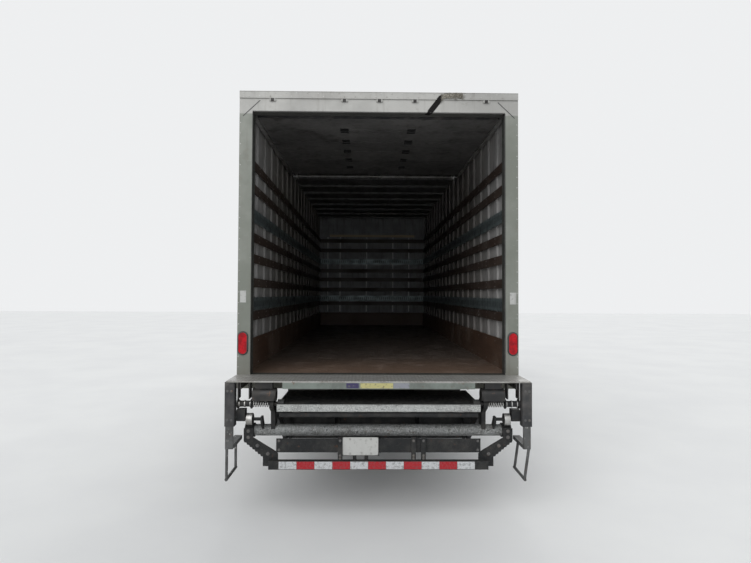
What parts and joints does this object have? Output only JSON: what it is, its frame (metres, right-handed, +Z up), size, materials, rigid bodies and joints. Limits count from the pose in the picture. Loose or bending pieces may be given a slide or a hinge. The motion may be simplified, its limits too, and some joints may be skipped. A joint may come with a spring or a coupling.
{
  "type": "box truck",
  "caption": "Conventional-cab box truck with a roll-up rear door, slatted cargo body and a folding tuck-under liftgate.",
  "frame": {"origin": "on the ground under the middle of the truck's overall length and width", "axes": "+Y forward, +X to the truck's right side, +Z up"},
  "size_m": [2.84, 11.085, 3.7899],
  "materials": {
    "chassis_black": "semi-gloss chassis paint",
    "tyre": "worn tyre rubber",
    "wheel_white": "white wheel paint, dusty",
    "cast": "bare cast iron",
    "tank": "brushed aluminium",
    "white_paint": "gloss white cab paint",
    "glass": "clear glass",
    "black_plastic": "black plastic",
    "lens_clear": "clear lamp lens",
    "lens_red": "red lamp lens",
    "lens_dark": "dark amber lamp lens",
    "interior": "grey interior plastic",
    "seat": "grey woven seat fabric",
    "floor_wood": "worn hardwood floor",
    "lining_wood": "dark hardwood boards",
    "body_panel": "light grey composite panel",
    "body_white": "white body skin",
    "frame_grey": "grey-green painted steel",
    "rail_steel": "galvanised rail",
    "door_wood": "grey laminated door sections",
    "extension_steel": "worn tread plate",
    "bumper_rubber": "rubber dock bumper",
    "gate_steel": "worn grey liftgate steel",
    "gate_dark": "black liftgate steel",
    "chrome_rod": "chromed rod",
    "flap_rubber": "rubber flap"
  },
  "bodies": {
    "chassis": {"frame": "chassis_black", "leaf_springs": "chassis_black", "front_axle": "chassis_black", "rear_axle": "chassis_black", "drive_shaft": "chassis_black", "engine": "cast", "exhaust": "cast", "fuel_tank": "tank", "battery_box": "chassis_black", "front_bumper": "chassis_black", "cab_shell": "white_paint", "cab_glass": "glass", "dashboard": "interior", "seats": "seat", "cargo_floor": "floor_wood", "floor_sills": "chassis_black", "wall_left": "body_panel", "wall_right": "body_panel", "wall_front": "body_panel", "roof": "body_white", "wood_lining": "lining_wood", "cargo_rails": "rail_steel", "rear_frame": "frame_grey", "roll_up_door": "door_wood", "door_tracks": "rail_steel", "tail_lamps": "lens_red", "marker_lamps": "lens_dark", "sill_extension": "extension_steel", "dock_bumpers": "bumper_rubber", "side_steps": "gate_dark", "mudflaps": "flap_rubber", "gate_main_frame": "gate_dark"},
    "knuckle_left": {"knuckle_left": "cast"},
    "knuckle_right": {"knuckle_right": "cast"},
    "tie_rod": {"tie_rod": "chassis_black"},
    "wheel_front_left": {"front_tyre_left": "tyre", "front_wheel_left": "wheel_white"},
    "wheel_front_right": {"front_tyre_right": "tyre", "front_wheel_right": "wheel_white"},
    "wheels_rear_left": {"rear_tyres_left": "tyre", "rear_wheels_left": "wheel_white"},
    "wheels_rear_right": {"rear_tyres_right": "tyre", "rear_wheels_right": "wheel_white"},
    "steering_wheel": {"steering_wheel": "black_plastic"},
    "cab_door_left": {"door_left": "white_paint", "door_glass_left": "glass"},
    "cab_door_right": {"door_right": "white_paint", "door_glass_right": "glass"},
    "hood": {"hood": "white_paint", "grille": "black_plastic", "headlamps": "lens_clear"},
    "gate_arms": {"gate_lift_arms": "gate_steel", "gate_springs": "rail_steel"},
    "gate_platform": {"gate_platform": "gate_steel", "gate_flipover": "gate_steel"},
    "gate_guard": {"gate_guard": "gate_dark"},
    "gate_barrel": {"gate_cylinder_barrel": "gate_dark"},
    "gate_rod": {"gate_cylinder_rod": "chrome_rod"}
  },
  "joints": [
    {"name": "steer_left", "type": "hinge", "parent": "chassis", "child": "knuckle_left", "pos_m": [-0.92, 4.5225, 0.5], "axis": [0, 0, 1], "range_deg": [-38, 38]},
    {"name": "steer_right", "type": "hinge", "parent": "chassis", "child": "knuckle_right", "pos_m": [0.92, 4.5225, 0.5], "axis": [0, 0, 1], "range_deg": [-38, 38]},
    {"name": "tie_rod_swing", "type": "hinge", "parent": "knuckle_left", "child": "tie_rod", "pos_m": [-0.92, 4.3375, 0.392], "axis": [0, 0, 1], "range_deg": [-38, 38]},
    {"name": "front_wheel_left_spin", "type": "hinge", "parent": "knuckle_left", "child": "wheel_front_left", "pos_m": [-1.03, 4.5225, 0.5], "axis": [1, 0, 0], "continuous": true},
    {"name": "front_wheel_right_spin", "type": "hinge", "parent": "knuckle_right", "child": "wheel_front_right", "pos_m": [1.03, 4.5225, 0.5], "axis": [1, 0, 0], "continuous": true},
    {"name": "rear_wheels_left_spin", "type": "hinge", "parent": "chassis", "child": "wheels_rear_left", "pos_m": [-1.08, -1.9275, 0.5], "axis": [1, 0, 0], "continuous": true},
    {"name": "rear_wheels_right_spin", "type": "hinge", "parent": "chassis", "child": "wheels_rear_right", "pos_m": [1.08, -1.9275, 0.5], "axis": [1, 0, 0], "continuous": true},
    {"name": "steering_wheel_turn", "type": "hinge", "parent": "chassis", "child": "steering_wheel", "pos_m": [-0.47, 3.5025, 1.7], "axis": [0, -0.766, 0.6428], "range_deg": [-608, 608]},
    {"name": "cab_door_left_swing", "type": "hinge", "parent": "chassis", "child": "cab_door_left", "pos_m": [-1.02, 3.9995, 1.485], "axis": [0, 0, -1], "range_deg": [0, 70]},
    {"name": "cab_door_right_swing", "type": "hinge", "parent": "chassis", "child": "cab_door_right", "pos_m": [1.02, 3.9995, 1.485], "axis": [0, 0, 1], "range_deg": [0, 70]},
    {"name": "hood_tilt", "type": "hinge", "parent": "chassis", "child": "hood", "pos_m": [0, 5.4005, 0.747], "axis": [-1, 0, 0], "range_deg": [0, 60]},
    {"name": "gate_lower", "type": "hinge", "parent": "chassis", "child": "gate_arms", "pos_m": [0, -4.6975, 0.5], "axis": [1, 0, 0], "range_deg": [0, 51.6]},
    {"name": "gate_platform_fold", "type": "hinge", "parent": "gate_arms", "child": "gate_platform", "pos_m": [0, -5.46807, 0.965], "axis": [1, 0, 0], "range_deg": [0, 25.81]},
    {"name": "gate_guard_fold", "type": "hinge", "parent": "gate_arms", "child": "gate_guard", "pos_m": [0, -5.3575, 0.714], "axis": [1, 0, 0], "range_deg": [0, 72.25]},
    {"name": "gate_cylinder_swing", "type": "hinge", "parent": "chassis", "child": "gate_barrel", "pos_m": [0, -4.0625, 0.48], "axis": [1, 0, 0], "range_deg": [0, 2.97]},
    {"name": "gate_rod_slide", "type": "slide", "parent": "gate_barrel", "child": "gate_rod", "axis": [0, -0.987, -0.1606], "range_m": [-0.1267, 0]}
  ],
  "couplings": [
    {"joint": "steer_right", "follows": "steer_left", "ratio": 1},
    {"joint": "tie_rod_swing", "follows": "steer_left", "ratio": -1},
    {"joint": "steering_wheel_turn", "follows": "steer_left", "ratio": 16},
    {"joint": "gate_platform_fold", "follows": "gate_lower", "ratio": 0.5},
    {"joint": "gate_guard_fold", "follows": "gate_lower", "ratio": 1.4},
    {"joint": "gate_cylinder_swing", "follows": "gate_lower", "ratio": 0.0573},
    {"joint": "gate_rod_slide", "follows": "gate_lower", "m_per_rad": -0.14046}
  ]
}
